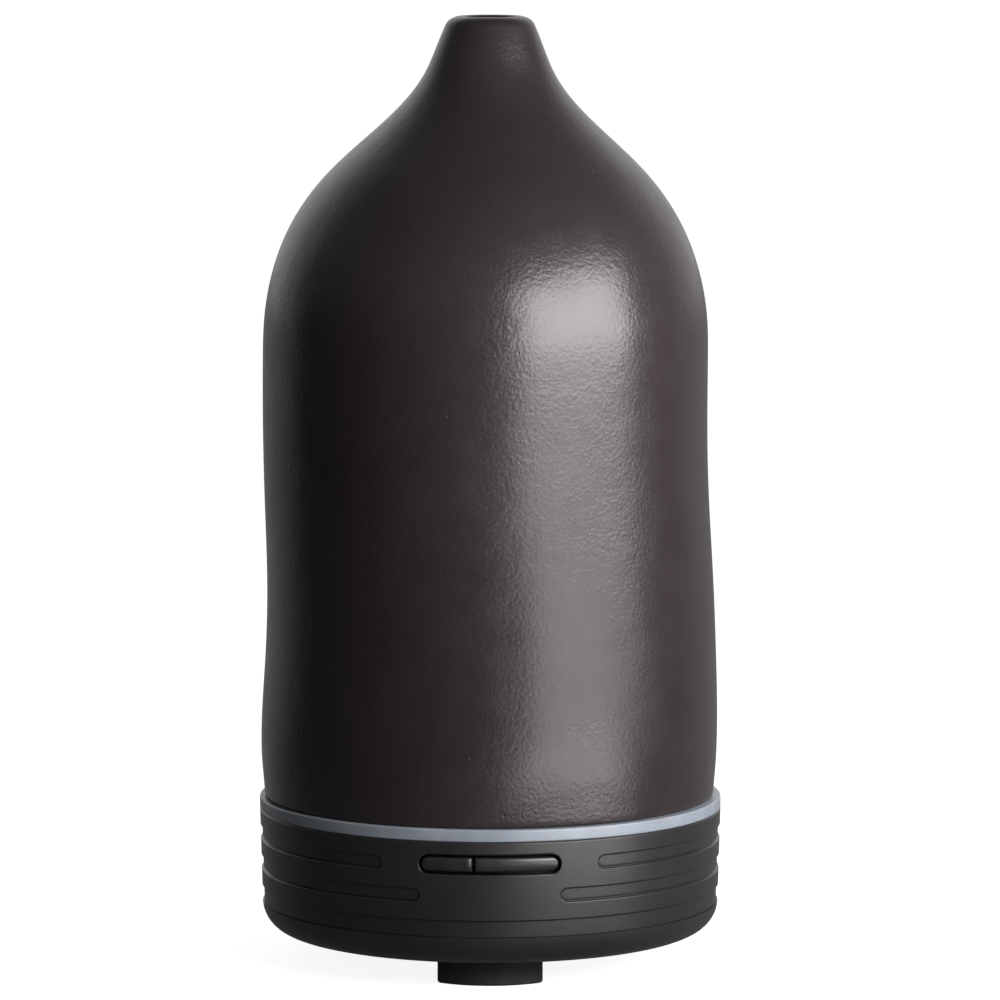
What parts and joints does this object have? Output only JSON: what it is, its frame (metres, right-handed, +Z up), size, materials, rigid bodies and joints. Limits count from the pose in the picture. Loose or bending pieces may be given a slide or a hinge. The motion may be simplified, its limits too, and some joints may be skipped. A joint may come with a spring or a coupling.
{
  "type": "essential oil diffuser",
  "caption": "Ultrasonic essential oil diffuser: dark glazed ceramic bottle-shaped cover on a low black base with a light ring, push buttons, water tank, fan and misting disc.",
  "frame": {"origin": "centre of the footprint on the table", "axes": "+Z up, -Y towards the front with the buttons, +X to the right seen from the front"},
  "size_m": [0.09, 0.09, 0.184],
  "materials": {
    "glazed_stoneware": "semi-matt dark brown glaze with a fine orange-peel texture",
    "lid_plastic": "frosted translucent polypropylene",
    "tank_plastic": "white polypropylene, fine satin",
    "light_guide": "translucent cool grey light guide, satin",
    "base_plastic": "black moulded ABS with a fine matt texture",
    "button_plastic": "black moulded ABS, semi-gloss",
    "foot_rubber": "black rubber, matt",
    "silicone": "milky silicone rubber",
    "foam_gasket": "dark closed-cell foam",
    "circuit_board": "green solder mask",
    "lamp_board": "white solder mask",
    "component_black": "black moulded component bodies",
    "ferrite": "dark sintered ferrite",
    "capacitor_can": "aluminium cans",
    "connector_nylon": "natural nylon",
    "screw_steel": "zinc-plated steel",
    "contact_metal": "nickel-plated brass contact",
    "disc_metal": "thin stainless plate on a ceramic disc",
    "retainer_plastic": "white moulded plastic",
    "fan_plastic": "black glass-filled plastic",
    "lamp_chip": "white lamp package with yellow phosphor",
    "wire_red": "red insulated wire",
    "wire_white": "white insulated wire"
  },
  "bodies": {
    "base": {"water_tank": "tank_plastic", "tank_deck": "tank_plastic", "light_ring": "light_guide", "deck_gasket": "silicone", "base_shell": "base_plastic", "bottom_cover": "base_plastic", "foot_front": "foot_rubber", "foot_rear_right": "foot_rubber", "foot_rear_left": "foot_rubber", "switch_board": "circuit_board", "light_switch": "component_black", "mist_switch": "component_black", "main_board": "circuit_board", "board_inductor": "ferrite", "board_capacitors": "capacitor_can", "board_chips": "component_black", "board_connectors": "connector_nylon", "board_screws": "screw_steel", "dc_jack": "component_black", "dc_jack_pin": "contact_metal", "fan_gasket": "foam_gasket", "fan_frame": "fan_plastic", "fan_screws": "screw_steel", "air_duct": "tank_plastic", "piezo_disc": "disc_metal", "piezo_seal": "silicone", "piezo_retainer": "retainer_plastic", "piezo_screws": "screw_steel", "led_board": "lamp_board", "led_chips": "lamp_chip", "cover_screws": "screw_steel", "fan_wires": "wire_red", "piezo_wires": "wire_white", "led_wires": "wire_red", "switch_wires": "wire_white"},
    "lid": {"inner_lid": "lid_plastic", "mist_tube": "lid_plastic"},
    "cover": {"ceramic_cover": "glazed_stoneware"},
    "light_key": {"light_button": "button_plastic", "light_switch_plunger": "component_black"},
    "mist_key": {"mist_button": "button_plastic", "mist_switch_plunger": "component_black"},
    "rotor": {"fan_rotor": "fan_plastic"}
  },
  "joints": [
    {"name": "lid_lift", "type": "slide", "parent": "base", "child": "lid", "axis": [0, 0, 1], "range_m": [0, 0.06]},
    {"name": "cover_lift", "type": "slide", "parent": "lid", "child": "cover", "axis": [0, 0, 1], "range_m": [0, 0.15]},
    {"name": "light_press", "type": "slide", "parent": "base", "child": "light_key", "axis": [0, 1, 0], "range_m": [0, 0.0006], "stiffness_N_per_m": 1000, "springref_m": -0.0005},
    {"name": "mist_press", "type": "slide", "parent": "base", "child": "mist_key", "axis": [0, 1, 0], "range_m": [0, 0.0006], "stiffness_N_per_m": 1000, "springref_m": -0.0005},
    {"name": "fan_spin", "type": "hinge", "parent": "base", "child": "rotor", "pos_m": [-0.014, -0.008, 0.0136], "axis": [0, 0, 1], "continuous": true}
  ]
}
